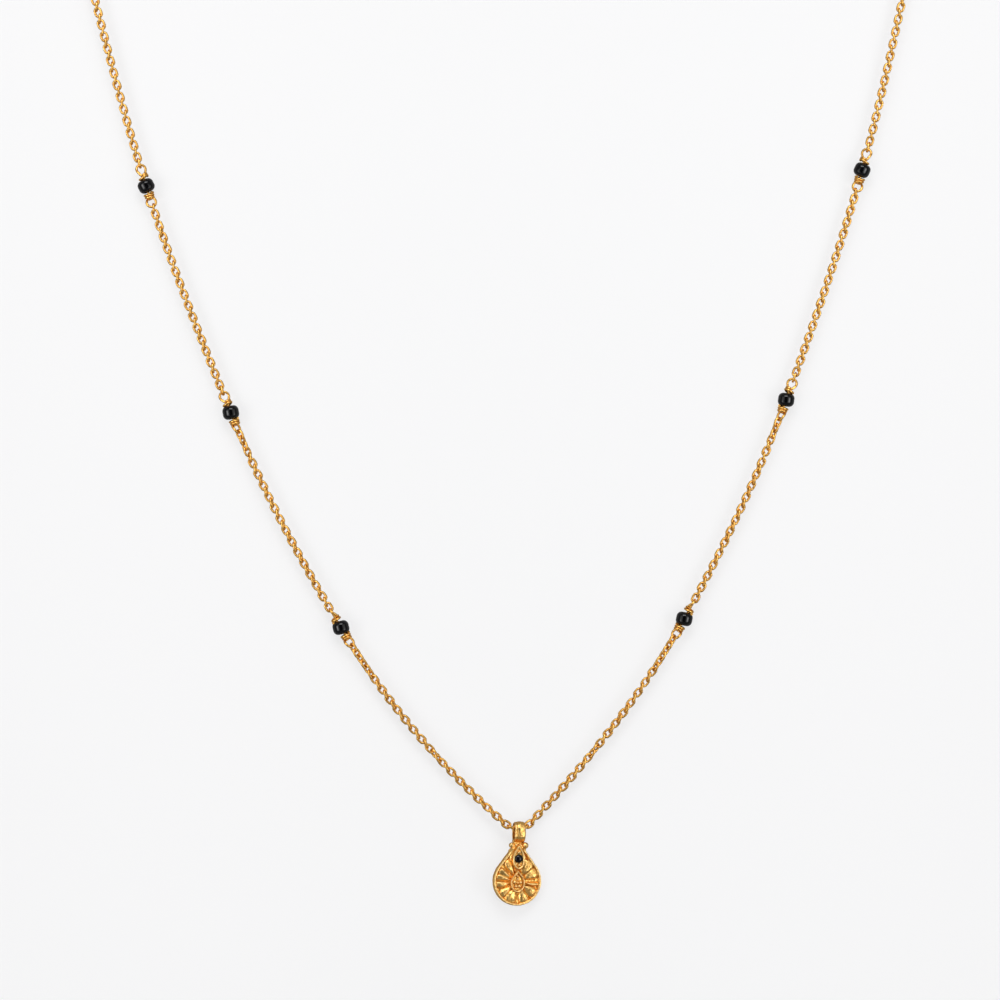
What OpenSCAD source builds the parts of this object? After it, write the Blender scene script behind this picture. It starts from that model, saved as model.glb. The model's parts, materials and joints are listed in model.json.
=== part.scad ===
// Mangalsutra: a gold cable chain closed into one loop, six black beads on wrapped wires,
// and a cast drop pendant that swings on its bail.
// The loop hangs in the XZ plane, its front to -Y. The origin is the underside of the loop's top.

/* [Loop] */
// Height of the loop's top above the pendant's hinge
hinge_drop = 189.5; // [175:0.5:205]
// How far the pendant hangs to the right of the middle
pendant_x = 3; // [0:0.5:6]
// Radius of the bend that the chain takes through the bail
bail_bend_r = 2.7; // [2.6:0.1:4]
// Slope of the left side's chain where it leaves that bend
rise_left = 41; // [36:1:44]
// Slope of the right side's chain where it leaves that bend
rise_right = 47; // [42:1:48]

/* [Chain] */
// Thickness of a link's wire
link_wire = 0.3; // [0.24:0.02:0.32]
// Width of a link across both its sides
link_width = 1.38; // [1.3:0.02:1.5]
// Length of chain that each link adds
link_pitch = 1; // [0.96:0.01:1.3]
// Play between two linked links along the chain
link_play = 0.2; // [0.2:0.01:0.26]

/* [Bead stations] */
// Length of chain from the hinge to the first bead
first_station = 43.3; // [36:0.1:48]
// Length of chain from one bead to the next
station_step = 38.7; // [34:0.1:39]
// Bead across its roundest part
bead_d = 2.55; // [2:0.05:3.2]
// Bead along its hole
bead_length = 2.15; // [1.8:0.05:2.6]
// Play of the wire in the bead's hole, on the diameter
bead_play = 0.24; // [0.2:0.02:0.4]
// Thickness of the wire through a bead
eye_wire = 0.36; // [0.3:0.02:0.4]
// Middle line of an eye, across
eye_d = 1.52; // [1.46:0.02:1.7]
// Length of wrapped wire between a bead and each of its eyes
wrap_length = 0.9; // [0.7:0.05:1.2]
// Outer diameter of the wrapped wire beside a bead
wrap_d = 1.5; // [1.2:0.05:1.7]

/* [Bail] */
// Width of the bail's strap
bail_width = 1.5; // [1:0.1:1.8]
// Thickness of the strap
bail_wall = 0.28; // [0.2:0.02:0.4]
// Room for the chain inside the bail, all round
bail_play = 0.24; // [0.22:0.02:0.5]
// Distance from the hinge down to the foot of the bail
bail_length = 2.45; // [2.2:0.05:3.2]
// Depth of the bail at its foot
bail_foot_depth = 1.6; // [1.3:0.05:1.9]
// How far the pendant has turned on the chain
pendant_turn = 14; // [0:1:16]

/* [Drop] */
// Radius of the drop's round end
drop_r = 3.9; // [3.8:0.1:4.6]
// Slope of the drop's straight flanks from the vertical
flank_angle = 34; // [31:1:36]
// Width of the drop where it meets the bail
neck_width = 1.24; // [1:0.02:1.5]
// Width of the plain border
border = 0.5; // [0.3:0.05:0.6]
// Thickness of the back plate
plate_t = 0.55; // [0.4:0.05:0.9]
// Height of the border above the plate
border_h = 0.7; // [0.5:0.05:0.9]
// Height of the petals above the plate
petal_h = 0.6; // [0.4:0.05:0.7]

/* [Stone] */
// Width of the stone
stone_d = 1.46; // [1.2:0.02:1.5]
// Height of the stone's straight edge
stone_girdle = 0.15; // [0.1:0.05:0.3]
// Height of the stone's dome above that edge
stone_dome = 0.45; // [0.3:0.05:0.6]
// Height of the rim round the stone above the plate
stone_rim_h = 1.15; // [1:0.05:1.4]

/* [Clasp] */
// Middle line of the clasp's ring, across
clasp_d = 4.6; // [4:0.1:6]
// Thickness of the clasp's ring
clasp_wire = 0.8; // [0.6:0.05:1]

/* [Hidden] */

gold = "#d9a441";
black = "#141214";
left = -1;
right = 1;
ring_fn = 48;
wire_fn = 24;
grain_fn = 32;
drop_fn = 96;
// Depth that one soldered piece is sunk into another
solder = 0.05;

// The loop's top: the clasp's ring stands on the origin, with a small eye soldered to each side.
clasp_z = (clasp_d + clasp_wire) / 2;
clasp_eye_x = clasp_z + (eye_d - clasp_wire / 2) / 2;

// Chosen points of the chain's middle line. Columns: distance outwards from the middle,
// height above the hinge, heading above the horizontal in degrees.
route_right = [[29.6, 33.5, 61], [45.9, 68.5, 70], [58.1, 105.4, 74.5], [64.5, 132.5, 78], [66, 146, 91]];
route_left = [[25.3, 32.2, 59], [43, 66.8, 68], [56.5, 103, 72.5], [64.6, 132.5, 76], [66.6, 146, 89]];
function rise(side) = side == right ? rise_right : rise_left;
function foot_row(side) =
  [side * pendant_x + bail_bend_r * sin(rise(side)), bail_bend_r * (1 - cos(rise(side))), rise(side)];
function rows(side) = [
  [side * pendant_x, 0, 0],
  foot_row(side),
  each side == right ? route_right : route_left,
  [clasp_eye_x, hinge_drop + clasp_z, 180]
];

// Each pair of rows is joined by a smooth cubic, whose handles give a round bend.
steps = 40;
function turn_share(turn) = turn < 0.1 ? 1 / 3 : 2 / 3 * tan(turn / 4) / sin(turn / 2);
function place(row) = [row[0], row[1]];
function heading(row) = [cos(row[2]), sin(row[2])];
function handle(a, b) = norm(place(b) - place(a)) * turn_share(abs(b[2] - a[2]));
function cubic(p, q, r, s, t) =
  pow(1 - t, 3) * p + 3 * pow(1 - t, 2) * t * q + 3 * (1 - t) * t * t * r + pow(t, 3) * s;
function stretch_points(a, b) = let (h = handle(a, b)) [
  for (i = [0 : steps - 1])
    cubic(place(a), place(a) + h * heading(a), place(b) - h * heading(b), place(b), i / steps)
];
function line_points(side) = let (r = rows(side), n = len(r) - 1) [
  for (k = [0 : n - 1]) each stretch_points(r[k], r[k + 1]),
  place(r[n])
];
function gap_after(p, i) = i < len(p) - 1 ? norm(p[i + 1] - p[i]) : 0;
function lengths(p) = [for (i = 0, s = 0; i < len(p); s = s + gap_after(p, i), i = i + 1) s];
function column(p, k) = let (s = lengths(p)) [for (i = [0 : len(p) - 1]) [s[i], p[i][k]]];
function total_length(p) = let (s = lengths(p)) s[len(s) - 1];

points_right = line_points(right);
points_left = line_points(left);
out_right = column(points_right, 0);
out_left = column(points_left, 0);
up_right = column(points_right, 1);
up_left = column(points_left, 1);
total_right = total_length(points_right);
total_left = total_length(points_left);
function total(side) = side == right ? total_right : total_left;

// The chain leaves the turned bail along the bail's own axis and comes back to the loop's plane
// within this length.
settle = 5;
function drift(side, s) = side * s * sin(pendant_turn) * exp(-pow(s / settle, 2));
// A point of the middle line at length s from the hinge, with x counted outwards
function at(side, s) = let (m = abs(s), hinge_x = side * pendant_x) [
  hinge_x + sign(s) * (lookup(m, side == right ? out_right : out_left) - hinge_x),
  drift(side, s),
  lookup(m, side == right ? up_right : up_left) - hinge_drop
];
half_step = 0.5;
function along(side, s) = let (d = at(side, s + half_step) - at(side, s - half_step)) d / norm(d);

// The left side is worked out with x counted outwards, and then mirrored.
module on_side(side) {
  if (side == left)
    mirror([1, 0, 0])
      children();
  else
    children();
}

// Puts its children at length s of one side, with +X along the chain, turned about it by roll.
// A roll of 90 shows a link or an eye face-on, and 0 edge-on.
module on_chain(side, s, roll) {
  d = along(side, s);
  on_side(side)
    translate(at(side, s))
      rotate([0, -asin(d[2]), atan2(d[1], d[0])])
        rotate([roll, 0, 0])
          children();
}

// Links
link_inside = link_pitch + link_play;
link_straight = link_inside + 2 * link_wire - link_width;
link_bend = (link_width - link_wire) / 2;
// From the middle of a link to the middle of its end's wire
link_reach = (link_inside + link_wire) / 2;
// From the middle of an eye to the middle of the link that hangs in it
eye_hang = (eye_d - eye_wire - link_wire) / 2 - link_play + link_reach;

module link() {
  color(gold)
    for (s = [-1, 1]) {
      translate([s * link_straight / 2, 0, 0])
        rotate([0, 0, -s * 90])
          rotate_extrude(angle = 180, $fn = ring_fn)
            translate([link_bend, 0])
              circle(d = link_wire, $fn = wire_fn);
      translate([-link_straight / 2, s * link_bend, 0])
        rotate([0, 90, 0])
          cylinder(d = link_wire, h = link_straight, $fn = wire_fn);
    }
}

// Links from length s0 to s1 of one side, with a link at both. Each stands across the one before
// it, and the small rest of the turn is shared out so that the last one has roll1.
function small_turn(a) = a - 180 * round(a / 180);
module links(side, s0, s1, roll0, roll1, first) {
  n = round((s1 - s0) / link_pitch);
  rest = small_turn(roll1 - roll0 - 90 * n);
  for (i = [first : n])
    on_chain(side, s0 + (s1 - s0) * i / n, roll0 + 90 * i + rest * i / n)
      link();
}

// Bead stations, with the roll of each station's lower and upper eye
eye_span = bead_length + 2 * wrap_length + eye_d;
low_rolls = [50, 30, 90];
high_rolls = [0, 80, 75];
function station(k) = first_station + (k - 1) * station_step;
function low_eye(k) = station(k) - eye_span / 2;
function high_eye(k) = station(k) + eye_span / 2;

// The middle link passes through the bail, face-on.
module chain_to_first(side, first) {
  links(side, 0, low_eye(1) - eye_hang, 90, low_rolls[0] + 90, first);
}

module chain_front() {
  chain_to_first(right, 0);
  chain_to_first(left, 1);
}

module chain_between(side, k) {
  from = high_eye(k) + eye_hang;
  to = low_eye(k + 1) - eye_hang;
  links(side, from, to, high_rolls[k - 1] + 90, low_rolls[k] + 90, 0);
}

// The fine chain round the back, from the last station to the clasp, as a tube of its width
tube_sides = 8;
tube_ring_step = 4;
eye_edge = (eye_d + eye_wire) / 2 + link_play;

function tube_ring(side, s) = let (across = cross(along(side, s), [0, 1, 0])) [
  for (j = [0 : tube_sides - 1])
    let (a = 360 * (j + 0.5) / tube_sides)
      at(side, s) + link_width / 2 * (cos(a) * [0, 1, 0] + sin(a) * across)
];

module chain_back(side) {
  from = high_eye(3) + eye_edge;
  to = total(side) - eye_edge;
  n = ceil((to - from) / tube_ring_step);
  points = [for (i = [0 : n]) each tube_ring(side, from + (to - from) * i / n)];
  walls = [
    for (i = [0 : n - 1])
      for (j = [0 : tube_sides - 1])
        let (a = i * tube_sides + j, b = i * tube_sides + (j + 1) % tube_sides)
          [a, b, b + tube_sides, a + tube_sides]
  ];
  near_end = [for (j = [0 : tube_sides - 1]) tube_sides - 1 - j];
  far_end = [for (j = [0 : tube_sides - 1]) n * tube_sides + j];
  color(gold)
    on_side(side)
      polyhedron(points, concat([near_end, far_end], walls));
}

// Beads: a barrel with well rounded ends and a hole for its wire
bead_round = 0.8;
bead_bore = eye_wire + bead_play;
module bead_form() {
  flat_r = bead_d / 2 - bead_round;
  flat_h = bead_length / 2 - bead_round;
  difference() {
    union() {
      for (s = [-1, 1])
        translate([flat_r, s * flat_h])
          circle(r = bead_round, $fn = ring_fn);
      translate([0, -flat_h])
        square([bead_d / 2, 2 * flat_h]);
      translate([0, -bead_length / 2])
        square([flat_r, bead_length]);
    }
    translate([-bead_d, -bead_length])
      square([bead_d + bead_bore / 2, 2 * bead_length]);
  }
}

module bead(side, k) {
  color(black)
    on_chain(side, station(k), 0)
      rotate([0, 90, 0])
        rotate_extrude($fn = ring_fn)
          bead_form();
}

// Wires through the beads: two eyes, and the wire's end wrapped twice beside each
wrap_turns = 2;
wrap_gap = 0.12;
wrap_taper = 0.12;
wrap_start = bead_length / 2 + wrap_gap;
wrap_end = bead_length / 2 + wrap_length;
core_end = wrap_start + solder;
module wraps() {
  pitch = (wrap_end - wrap_start) / wrap_turns;
  turn_r = (wrap_d - pitch) / 2;
  rotate([0, 90, 0])
    rotate_extrude($fn = ring_fn) {
      translate([0, wrap_start])
        square([turn_r - wrap_taper / 2, wrap_end - solder - wrap_start]);
      for (i = [0 : wrap_turns - 1])
        translate([turn_r - i * wrap_taper, wrap_start + (i + 0.5) * pitch])
          circle(d = pitch, $fn = wire_fn);
    }
}

module eye(roll) {
  rotate([roll, 0, 0])
    rotate_extrude($fn = ring_fn)
      translate([eye_d / 2, 0])
        circle(d = eye_wire, $fn = wire_fn);
}

module wire(side, k) {
  color(gold)
    on_chain(side, station(k), 0) {
      rotate([0, 90, 0])
        translate([0, 0, -core_end])
          cylinder(d = eye_wire, h = 2 * core_end, $fn = wire_fn);
      translate([-eye_span / 2, 0, 0])
        eye(low_rolls[k - 1]);
      translate([eye_span / 2, 0, 0])
        eye(high_rolls[k - 1]);
      wraps();
      mirror([1, 0, 0])
        wraps();
    }
}

// Clasp: a plain ring with an eye soldered to each side, all face-on
module clasp() {
  color(gold)
    translate([0, 0, clasp_z])
      rotate([90, 0, 0]) {
        rotate_extrude($fn = ring_fn)
          translate([clasp_d / 2, 0])
            circle(d = clasp_wire, $fn = wire_fn);
        for (s = [-1, 1])
          translate([s * clasp_eye_x, 0, 0])
            eye(0);
      }
}

// Pendant, drawn about its hinge with its front to -Y. The drop's middle is placed so that its
// flanks are as wide as the neck at the foot of the bail.
bail_inner_r = link_width / 2 + bail_play;
bail_outer_r = bail_inner_r + bail_wall;
drop_middle = bail_length + drop_r / sin(flank_angle) - neck_width / 2 / tan(flank_angle);
back_y = 0.55;
front_y = back_y - plate_t;

module at_hinge() {
  translate([pendant_x, 0, -hinge_drop])
    rotate([0, 0, pendant_turn])
      children();
}

// A slab of an outline drawn in x and z, from depth y forwards by h
module slab(y, h) {
  translate([0, y, 0])
    rotate([90, 0, 0])
      linear_extrude(height = h)
        children();
}

// The side view of the bail: a round arch about the hinge, and two legs down to the foot
shoulder_angle = 10;
foot_h = 0.5;
module arch(r, foot_half, foot_z) {
  circle(r = r, $fn = ring_fn);
  polygon([
    [-r * cos(shoulder_angle), -r * sin(shoulder_angle)],
    [r * cos(shoulder_angle), -r * sin(shoulder_angle)],
    [foot_half, foot_z],
    [-foot_half, foot_z]
  ]);
}

module bail() {
  rotate([90, 0, 90])
    translate([0, 0, -bail_width / 2])
      linear_extrude(height = bail_width)
        difference() {
          arch(bail_outer_r, bail_foot_depth / 2, -bail_length);
          arch(bail_inner_r, bail_foot_depth / 2 - bail_wall, foot_h - bail_length);
        }
}

// A drop with a round end and straight flanks that meet in a point, inset from the outside
module drop_outline(inset) {
  r = drop_r - inset;
  translate([0, -drop_middle]) {
    circle(r = r, $fn = drop_fn);
    polygon([
      [r * cos(flank_angle), r * sin(flank_angle)],
      [0, r / sin(flank_angle)],
      [-r * cos(flank_angle), r * sin(flank_angle)]
    ]);
  }
}

// The back plate and its raised border, cut level just above the foot of the bail
module drop_plate() {
  difference() {
    union() {
      slab(back_y, plate_t)
        drop_outline(0);
      slab(front_y + solder, border_h + solder)
        difference() {
          drop_outline(0);
          drop_outline(border);
        }
    }
    translate([-drop_r, -drop_r, solder - bail_length])
      cube([2 * drop_r, 2 * drop_r, drop_r]);
  }
}

// A pear with half-width w, a pointed top of height up, and a round bottom of depth low
point_steps = 8;
point_power = 1.7;
function pear_flank(w, up, i) = [w * (1 - pow(i / point_steps, point_power)), up * i / point_steps];
module pear(w, up, low) {
  polygon([
    for (a = [180 : 15 : 360]) [w * cos(a), low * sin(a)],
    for (i = [1 : point_steps]) pear_flank(w, up, i),
    for (i = [point_steps - 1 : -1 : 1]) pear_flank(-w, up, i)
  ]);
}

// A pear with a raised rim, whose point is inset more than its sides
point_inset = 1.6;
module pear_frame(w, up, low, wall, h, floor_h) {
  slab(front_y + solder, floor_h + solder)
    pear(w, up, low);
  slab(front_y + solder, h + solder)
    difference() {
      pear(w, up, low);
      pear(w - wall, up - point_inset * wall, low - wall);
    }
}

// Rim round the stone, just under the point where the border's two sides meet
rim_side_play = 0.07;
rim_wall = 0.22;
rim_half_width = stone_d / 2 + rim_side_play + rim_wall;
rim_up = 1.95;
rim_low = 1.62;
rim_floor = 0.55;
rim_below_point = 0.42;
stone_z = -drop_middle + (drop_r - border) / sin(flank_angle) - rim_below_point - rim_up;
module stone_rim() {
  translate([0, 0, stone_z])
    pear_frame(rim_half_width, rim_up, rim_low, rim_wall, stone_rim_h, rim_floor);
}

// Heart of the drop: a small frame filled with grains. Columns: x, height, radius.
heart_half_width = 1.2;
heart_up = 1.85;
heart_low = 1.6;
heart_wall = 0.24;
heart_h = 0.85;
heart_floor = 0.5;
heart_z = 0.05 - drop_middle;
grains = [
  [0, 1.1, 0.2],
  [0, 0.55, 0.24],
  [-0.5, 0, 0.27],
  [0, -0.05, 0.24],
  [0.5, 0, 0.27],
  [-0.28, -0.65, 0.27],
  [0.28, -0.65, 0.27]
];
module heart() {
  translate([0, 0, heart_z]) {
    pear_frame(heart_half_width, heart_up, heart_low, heart_wall, heart_h, heart_floor);
    for (g = grains)
      translate([g[0], front_y - heart_floor, g[1]])
        sphere(r = g[2], $fn = grain_fn);
  }
}

// Petals round the heart, between troughs at these angles, inside the border
trough_angles = [12, 46, 80, 112, 138, 170, 200, 230, 268, 304, 338, 372];
petal_start = heart_half_width + 0.15;
petal_end = drop_r - border - 0.75;
petal_sunk = 0.4;
module petal(half_angle) {
  r0 = petal_start * sin(half_angle);
  r1 = petal_end * sin(half_angle);
  translate([petal_start, petal_sunk * r0, 0])
    rotate([0, 90, 0])
      cylinder(r1 = r0, r2 = r1, h = petal_end - petal_start, $fn = grain_fn);
  translate([petal_end, petal_sunk * r0, 0])
    sphere(r = r1, $fn = grain_fn);
}

module petals() {
  intersection() {
    slab(front_y + solder, petal_h + solder)
      drop_outline(border - solder);
    translate([0, front_y, -drop_middle])
      for (i = [0 : len(trough_angles) - 2])
        rotate([0, -(trough_angles[i] + trough_angles[i + 1]) / 2, 0])
          petal((trough_angles[i + 1] - trough_angles[i]) / 2);
  }
}

// Grains soldered beside the neck. Columns: distance out from the strap, depth, below the foot, radius.
neck_grains = [[-0.4, -0.1, 0.15, 0.4], [0.4, -0.1, 0.15, 0.4], [0.42, -0.3, 0.5, 0.25]];
module neck() {
  for (g = neck_grains)
    translate([g[0] + sign(g[0]) * bail_width / 2, g[1], -bail_length - g[2]])
      sphere(r = g[3], $fn = grain_fn);
}

module pendant() {
  color(gold)
    at_hinge() {
      bail();
      drop_plate();
      petals();
      heart();
      stone_rim();
      neck();
    }
}

// Stone: a low dome on a straight edge, just clear of the floor inside its rim
stone_seat = 0.03;
dome_r = (pow(stone_dome, 2) + pow(stone_d / 2, 2)) / (2 * stone_dome);
module pendant_stone() {
  color(black)
    at_hinge()
      translate([0, front_y - rim_floor - stone_seat, stone_z])
        rotate([90, 0, 0])
          rotate_extrude($fn = ring_fn)
            intersection() {
              translate([0, stone_girdle + stone_dome - dome_r])
                circle(r = dome_r, $fn = drop_fn);
              square([stone_d / 2, stone_girdle + stone_dome]);
            }
}

pendant();
pendant_stone();
chain_front();
chain_between(left, 1);  // chain_left_1
chain_between(left, 2);  // chain_left_2
chain_back(left);  // chain_left_back
chain_between(right, 1);  // chain_right_1
chain_between(right, 2);  // chain_right_2
chain_back(right);  // chain_right_back
bead(left, 1);  // bead_left_1
bead(left, 2);  // bead_left_2
bead(left, 3);  // bead_left_3
bead(right, 1);  // bead_right_1
bead(right, 2);  // bead_right_2
bead(right, 3);  // bead_right_3
wire(left, 1);  // wire_left_1
wire(left, 2);  // wire_left_2
wire(left, 3);  // wire_left_3
wire(right, 1);  // wire_right_1
wire(right, 2);  // wire_right_2
wire(right, 3);  // wire_right_3
clasp();
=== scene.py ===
"""Mangalsutra: a fine gold cable chain joined into one loop, six black beads on wrapped wires,
and a cast drop pendant with a black stone.

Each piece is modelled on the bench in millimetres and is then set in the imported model's frame,
which is in metres. The drop is modelled lying on its back, its front upwards."""

import json
import random
from bisect import bisect_right
from math import asin, atan2, copysign, cos, degrees, exp, pi, radians, sin, tan

import bmesh
import bpy
from bpy.props import FloatProperty, FloatVectorProperty, IntProperty, PointerProperty
from mathutils import Matrix, Vector


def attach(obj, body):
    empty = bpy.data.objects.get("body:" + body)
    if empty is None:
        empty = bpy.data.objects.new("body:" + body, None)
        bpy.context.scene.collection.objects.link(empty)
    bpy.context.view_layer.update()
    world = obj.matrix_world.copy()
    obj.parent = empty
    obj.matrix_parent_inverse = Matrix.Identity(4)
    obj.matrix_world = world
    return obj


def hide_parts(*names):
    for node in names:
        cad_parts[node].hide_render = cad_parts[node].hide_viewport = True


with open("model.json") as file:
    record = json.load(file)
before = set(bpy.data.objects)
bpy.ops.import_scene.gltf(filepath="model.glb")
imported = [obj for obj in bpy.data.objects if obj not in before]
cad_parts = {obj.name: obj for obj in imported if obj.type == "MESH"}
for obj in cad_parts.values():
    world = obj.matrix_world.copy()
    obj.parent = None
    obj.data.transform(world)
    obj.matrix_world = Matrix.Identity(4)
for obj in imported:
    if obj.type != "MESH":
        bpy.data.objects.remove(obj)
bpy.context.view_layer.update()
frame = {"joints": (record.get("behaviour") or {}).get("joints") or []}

bl_info = {
    "name": "Mangalsutra",
    "version": (1, 0, 0),
    "blender": (4, 5, 0),
    "location": "3D View > Sidebar > Necklace",
    "description": "Builds a gold chain with black beads and a cast drop pendant",
    "category": "Add Mesh",
}

LEFT, RIGHT = -1, 1
SIDES = {"left": LEFT, "right": RIGHT}

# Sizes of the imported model, in millimetres
MM = 0.001
SWING = frame["joints"][0]
HINGE = Vector(SWING["pos_m"]) / MM
TURN = atan2(SWING["axis"][1], SWING["axis"][0])
# The bend of the chain in the bail, and how steeply each side leaves it, in degrees
BAIL_BEND = 2.7
RISE = {LEFT: 41.0, RIGHT: 47.0}
CLASP_RING = 4.6
CLASP_WIRE = 0.8
CLASP_MIDDLE = (CLASP_RING + CLASP_WIRE) / 2
EYE_RING = 1.52
CLASP_EYE = CLASP_MIDDLE + (EYE_RING - CLASP_WIRE / 2) / 2
FIRST_STATION = 43.3
STATION_STEP = 38.7
BEAD_LENGTH = 2.15
WRAP_LENGTH = 0.9
EYE_MIDDLE = BEAD_LENGTH / 2 + WRAP_LENGTH + EYE_RING / 2

# How far the eyes below and above each bead are rolled about the chain, in degrees
LOW_ROLLS = (50, 30, 90)
HIGH_ROLLS = (0, 80, 75)
# The drop's bail and neck, and how far the stone lies above the middle of the round end
BAIL_LENGTH = 2.45
NECK_WIDTH = 1.0
STONE_RISE = 3.61
# The route's chosen points: distance outwards, height above the hinge, heading in degrees
ROUTE = {
    RIGHT: [(29.6, 33.5, 61), (45.9, 68.5, 70), (58.1, 105.4, 74.5), (64.5, 132.5, 78),
            (66, 146, 91)],
    LEFT: [(25.3, 32.2, 59), (43, 66.8, 68), (56.5, 103, 72.5), (64.6, 132.5, 76),
           (66.6, 146, 89)],
}
MIRROR = Matrix.Diagonal((-1, 1, 1, 1))
# The pendant's seat at its hinge, where it hangs a little askew
ASKEW = Matrix.Translation((0.05, 0, 0)) @ Matrix.Rotation(radians(-1.4), 4, "Z")
PENDANT_SEAT = (Matrix.Translation(HINGE) @ Matrix.Rotation(TURN, 4, "Z")
                @ Matrix.Rotation(pi / 2, 4, "X") @ ASKEW)


def smooth(share):
    share = min(1.0, max(0.0, share))
    return share * share * (3 - 2 * share)


def blend(a, b, share):
    return a + (b - a) * share


class Strand:
    """The middle line of one side of the chain, by its length from the hinge."""

    STEPS = 40
    HALF_STEP = 0.5
    SETTLE = 5.0

    def __init__(self, side):
        self.side = side
        rise = radians(RISE[side])
        bend = BAIL_BEND * sin(rise), BAIL_BEND * (1 - cos(rise))
        rows = [(side * HINGE.x, 0, 0), (side * HINGE.x + bend[0], bend[1], RISE[side]),
                *ROUTE[side], (CLASP_EYE, -HINGE.z + CLASP_MIDDLE, 180)]
        self.points = []
        for a, b in zip(rows, rows[1:]):
            self.points += self.stretch(a, b)
        self.points.append(Vector(rows[-1][:2]))
        self.lengths = [0.0]
        for p, q in zip(self.points, self.points[1:]):
            self.lengths.append(self.lengths[-1] + (q - p).length)
        self.total = self.lengths[-1]

    def stretch(self, a, b):
        """Points of an even curve between two rows of the route."""
        start, end = Vector(a[:2]), Vector(b[:2])
        turn = radians(abs(b[2] - a[2]))
        share = 1 / 3 if turn < 0.002 else 2 / 3 * tan(turn / 4) / sin(turn / 2)
        reach = (end - start).length * share
        leave, arrive = radians(a[2]), radians(b[2])
        first = start + reach * Vector((cos(leave), sin(leave)))
        second = end - reach * Vector((cos(arrive), sin(arrive)))
        made = []
        for i in range(self.STEPS):
            t = i / self.STEPS
            u = 1 - t
            made.append(u ** 3 * start + 3 * u * u * t * first
                        + 3 * u * t * t * second + t ** 3 * end)
        return made

    def at(self, s):
        m = min(abs(s), self.total)
        i = min(bisect_right(self.lengths, m), len(self.lengths) - 1)
        share = (m - self.lengths[i - 1]) / (self.lengths[i] - self.lengths[i - 1])
        place = self.points[i - 1].lerp(self.points[i], share)
        middle = self.side * HINGE.x
        drift = self.side * s * sin(TURN) * exp(-((s / self.SETTLE) ** 2))
        across = middle + copysign(1, s) * (place.x - middle)
        return Vector((across, drift, place.y + HINGE.z))

    def along(self, s):
        return (self.at(s + self.HALF_STEP) - self.at(s - self.HALF_STEP)).normalized()

    def seat(self, s, roll, tilt=0.0):
        """A seat on the chain with +X along it, tilted inwards in the loop's plane by tilt.
        A roll of 90 degrees shows a link face-on."""
        d = self.along(s)
        rise = -asin(d.z) - radians(tilt)
        turn = Matrix.Rotation(atan2(d.y, d.x), 4, "Z") @ Matrix.Rotation(rise, 4, "Y")
        turn = turn @ Matrix.Rotation(radians(roll), 4, "X")
        seat = Matrix.Translation(self.at(s)) @ turn
        return MIRROR @ seat if self.side == LEFT else seat


STRANDS = {side: Strand(side) for side in (LEFT, RIGHT)}


def station(k):
    """A bead's place along its strand."""
    return FIRST_STATION + (k - 1) * STATION_STEP


def drop_middle(drop):
    """Where the middle of the drop's round end lies on the bench, from the hinge."""
    return -(BAIL_LENGTH + drop.radius / MM / sin(drop.flank)
             - NECK_WIDTH / 2 / tan(drop.flank))


# Bench work


def clear_bench():
    """Leaves edit mode and selects nothing."""
    if bpy.context.object and bpy.context.object.mode != "OBJECT":
        bpy.ops.object.mode_set(mode="OBJECT")
    bpy.ops.object.select_all(action="DESELECT")


def make_active(piece):
    clear_bench()
    piece.select_set(True)
    bpy.context.view_layer.objects.active = piece


def open_mesh(piece, kind=None):
    """Goes into edit mode on a piece, with all of one kind selected or nothing."""
    make_active(piece)
    bpy.ops.object.mode_set(mode="EDIT")
    bpy.ops.mesh.select_mode(type=kind or "VERT")
    bpy.ops.mesh.select_all(action="SELECT" if kind else "DESELECT")


def pick(piece, kind, test):
    """Selects vertices by their place, edges by their ends, or faces by middle and normal."""
    mesh = bmesh.from_edit_mesh(piece.data)
    bpy.ops.mesh.select_mode(type=kind)
    bpy.ops.mesh.select_all(action="DESELECT")
    if kind == "VERT":
        for vertex in mesh.verts:
            vertex.select_set(test(vertex.co))
    elif kind == "EDGE":
        for edge in mesh.edges:
            edge.select_set(test(edge.verts[0].co, edge.verts[1].co))
    else:
        for face in mesh.faces:
            face.select_set(test(face.calc_center_median(), face.normal))
    mesh.select_flush_mode()
    bmesh.update_edit_mesh(piece.data)


def close_mesh(piece, outwards=False):
    """Leaves edit mode, with every face turned outwards if that is asked for."""
    if outwards:
        bpy.ops.mesh.select_all(action="SELECT")
        bpy.ops.mesh.normals_make_consistent()
    bpy.ops.mesh.select_mode(type="VERT")
    bpy.ops.object.mode_set(mode="OBJECT")
    return piece


def settle():
    """The new primitive, its place, turn and size put into its mesh."""
    bpy.ops.object.transform_apply()
    return bpy.context.object


def round_path(places, axis):
    """The places of a closed path, each with its outward direction across an axis."""
    path = []
    for i, place in enumerate(places):
        ahead = places[(i + 1) % len(places)] - places[i - 1]
        path.append((place, ahead.cross(axis).normalized()))
    return path


def new_object(name, data):
    made = bpy.data.objects.new(name, data)
    bpy.context.scene.collection.objects.link(made)
    return made


def join(pieces):
    """Joins pieces into the first of them."""
    make_active(pieces[0])
    for piece in pieces[1:]:
        piece.select_set(True)
    if len(pieces) > 1:
        bpy.ops.object.join()
    return bpy.context.object


def modify(piece, kind, **values):
    """Adds a modifier with its settings and applies it."""
    modifier = piece.modifiers.new(kind.lower(), kind)
    for key, value in values.items():
        setattr(modifier, key, value)
    make_active(piece)
    bpy.ops.object.modifier_apply(modifier=modifier.name)


def set_copies(form, seats):
    """Copies a form to each seat, each copy with a mesh of its own, and joins the copies."""
    made = []
    for seat in seats:
        mesh = form.data.copy()
        mesh.transform(seat)
        if seat.determinant() < 0:
            mesh.flip_normals()
        made.append(new_object(form.name, mesh))
    return join(made)


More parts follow.
